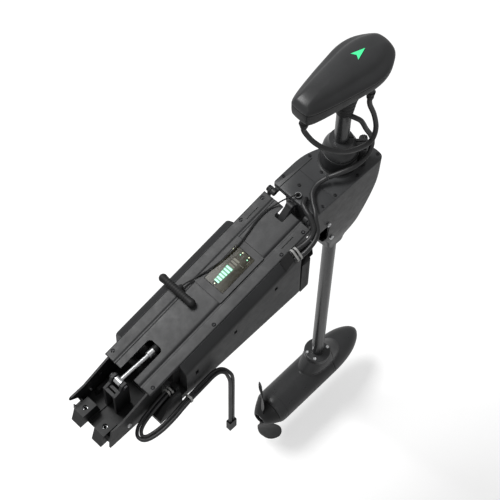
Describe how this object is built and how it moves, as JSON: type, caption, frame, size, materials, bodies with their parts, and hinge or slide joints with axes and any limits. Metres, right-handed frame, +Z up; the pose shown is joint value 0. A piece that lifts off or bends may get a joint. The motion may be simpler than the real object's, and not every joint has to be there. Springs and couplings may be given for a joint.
{
  "type": "trolling motor",
  "caption": "Electric bow-mount trolling motor: deck mount and arm with a display, tilting housing, sliding shaft with a steering head, and an underwater motor with a two-blade propeller.",
  "frame": {"origin": "centre of the four deck bolts, on the underside of the mount", "axes": "+Z up from the deck, +X along the mount towards the bow, +Y to port"},
  "size_m": [0.982, 0.2475, 1.6799],
  "materials": {
    "frame_plastic": "fine moulded texture",
    "cover_plastic": "satin moulded texture",
    "bumper_rubber": "matte",
    "bracket_paint": "satin powder coat",
    "bright_steel": "fine brushed",
    "dark_steel": "blackened",
    "spring_paint": "gloss",
    "controller_case": "cast, anodised",
    "bezel_plastic": "semi gloss",
    "circuit_board": "solder mask",
    "green_light": "lit",
    "window_glass": "smoked",
    "button_plastic": "satin",
    "grip_rubber": "ribbed, matte",
    "cable_rubber": "satin sheath",
    "tie_plastic": "natural nylon",
    "housing_plastic": "satin moulded texture",
    "bearing_plastic": "smooth",
    "sleeve_aluminium": "hard anodised",
    "gear_steel": "machined",
    "head_plastic": "satin moulded texture",
    "shaft_composite": "satin, lengthways fibres",
    "motor_paint": "satin",
    "winding_copper": "lacquered copper",
    "rotor_steel": "ground",
    "propeller_plastic": "satin moulded texture"
  },
  "bodies": {
    "mount": {"deck_tray": "frame_plastic", "arm_rails": "bracket_paint", "arm_crossplates": "bracket_paint", "top_cover": "cover_plastic", "port_side_cover": "frame_plastic", "starboard_side_cover": "cover_plastic", "end_bumpers": "bumper_rubber", "spring_bracket": "bracket_paint", "bracket_pin": "bright_steel", "gas_spring_rod": "bright_steel", "tilt_pins": "dark_steel", "mount_screws": "bright_steel", "latch_keeper": "dark_steel", "motor_controller": "controller_case", "display_bezel": "bezel_plastic", "display_board": "circuit_board", "charge_bars": "green_light", "display_window": "window_glass", "release_cord": "cable_rubber", "cable_clamp_block": "frame_plastic", "cable_ties": "tie_plastic", "arm_gland": "bumper_rubber", "power_lead_positive": "cable_rubber", "power_lead_negative": "cable_rubber", "power_plug": "frame_plastic"},
    "gas_spring_body": {"gas_spring_cylinder": "spring_paint"},
    "power_button_body": {"power_button": "button_plastic"},
    "pull_handle_body": {"pull_handle": "grip_rubber"},
    "steer_housing": {"steering_housing": "housing_plastic", "housing_lid": "housing_plastic", "lid_screws": "dark_steel", "housing_bolts": "bright_steel", "cord_eyelet": "dark_steel", "steering_servo": "controller_case", "sleeve_bearings": "bearing_plastic", "tilt_cable": "cable_rubber"},
    "latch": {"latch_bolt": "bright_steel"},
    "pinion": {"servo_pinion": "gear_steel"},
    "steer_sleeve": {"steering_sleeve": "sleeve_aluminium", "ring_gear": "gear_steel", "depth_collar": "head_plastic", "steer_cable": "cable_rubber"},
    "knob": {"collar_knob": "grip_rubber"},
    "shaft": {"head_base": "head_plastic", "head_cover": "head_plastic", "head_neck": "bumper_rubber", "head_board": "circuit_board", "direction_arrow": "green_light", "head_glands": "bumper_rubber", "shaft_tube": "shaft_composite", "head_loop_cable": "cable_rubber", "depth_cable": "cable_rubber", "motor_shell": "motor_paint", "motor_nose": "motor_paint", "neck_screws": "bright_steel", "stator": "winding_copper", "motor_bearings": "gear_steel"},
    "propeller_body": {"rotor": "rotor_steel", "propeller": "propeller_plastic", "propeller_nut": "bright_steel"}
  },
  "joints": [
    {"name": "tilt", "type": "hinge", "parent": "mount", "child": "steer_housing", "pos_m": [0.369, 0, 0.216], "axis": [0, -1, 0], "range_deg": [0, 90], "deforming": ["tilt_cable", "release_cord"]},
    {"name": "gas_spring", "type": "slide", "parent": "mount", "child": "gas_spring_body", "axis": [1, 0, 0], "range_m": [0, 0.106]},
    {"name": "power_press", "type": "slide", "parent": "mount", "child": "power_button_body", "axis": [0.199, 0, -0.98], "range_m": [0, 0.0012], "stiffness_N_per_m": 800},
    {"name": "handle_pull", "type": "slide", "parent": "mount", "child": "pull_handle_body", "axis": [-0.98, 0, -0.199], "range_m": [0, 0.03], "stiffness_N_per_m": 400},
    {"name": "latch_slide", "type": "slide", "parent": "steer_housing", "child": "latch", "axis": [1, 0, 0], "range_m": [0, 0.012]},
    {"name": "steer", "type": "hinge", "parent": "steer_housing", "child": "steer_sleeve", "pos_m": [0.53, 0, 0.1], "axis": [0, 0, 1], "range_deg": [-180, 180], "deforming": ["steer_cable"]},
    {"name": "pinion_spin", "type": "hinge", "parent": "steer_housing", "child": "pinion", "pos_m": [0.49711, -0.01197, 0.155], "axis": [0, 0, 1], "range_deg": [-720, 720]},
    {"name": "knob_turn", "type": "hinge", "parent": "steer_sleeve", "child": "knob", "pos_m": [0.56939, -0.03546, 0.291], "axis": [0.6691, 0.7431, 0], "range_deg": [0, 720]},
    {"name": "depth", "type": "slide", "parent": "steer_sleeve", "child": "shaft", "axis": [0, 0, 1], "range_m": [0, 0.4], "deforming": ["depth_cable"]},
    {"name": "propeller_spin", "type": "hinge", "parent": "shaft", "child": "propeller_body", "pos_m": [0.4, 0, -0.909], "axis": [1, 0, 0], "continuous": true}
  ],
  "couplings": [
    {"joint": "gas_spring", "follows": "tilt", "m_per_rad": 0.0674},
    {"joint": "latch_slide", "follows": "handle_pull", "ratio": 0.4},
    {"joint": "pinion_spin", "follows": "steer", "ratio": -4}
  ]
}
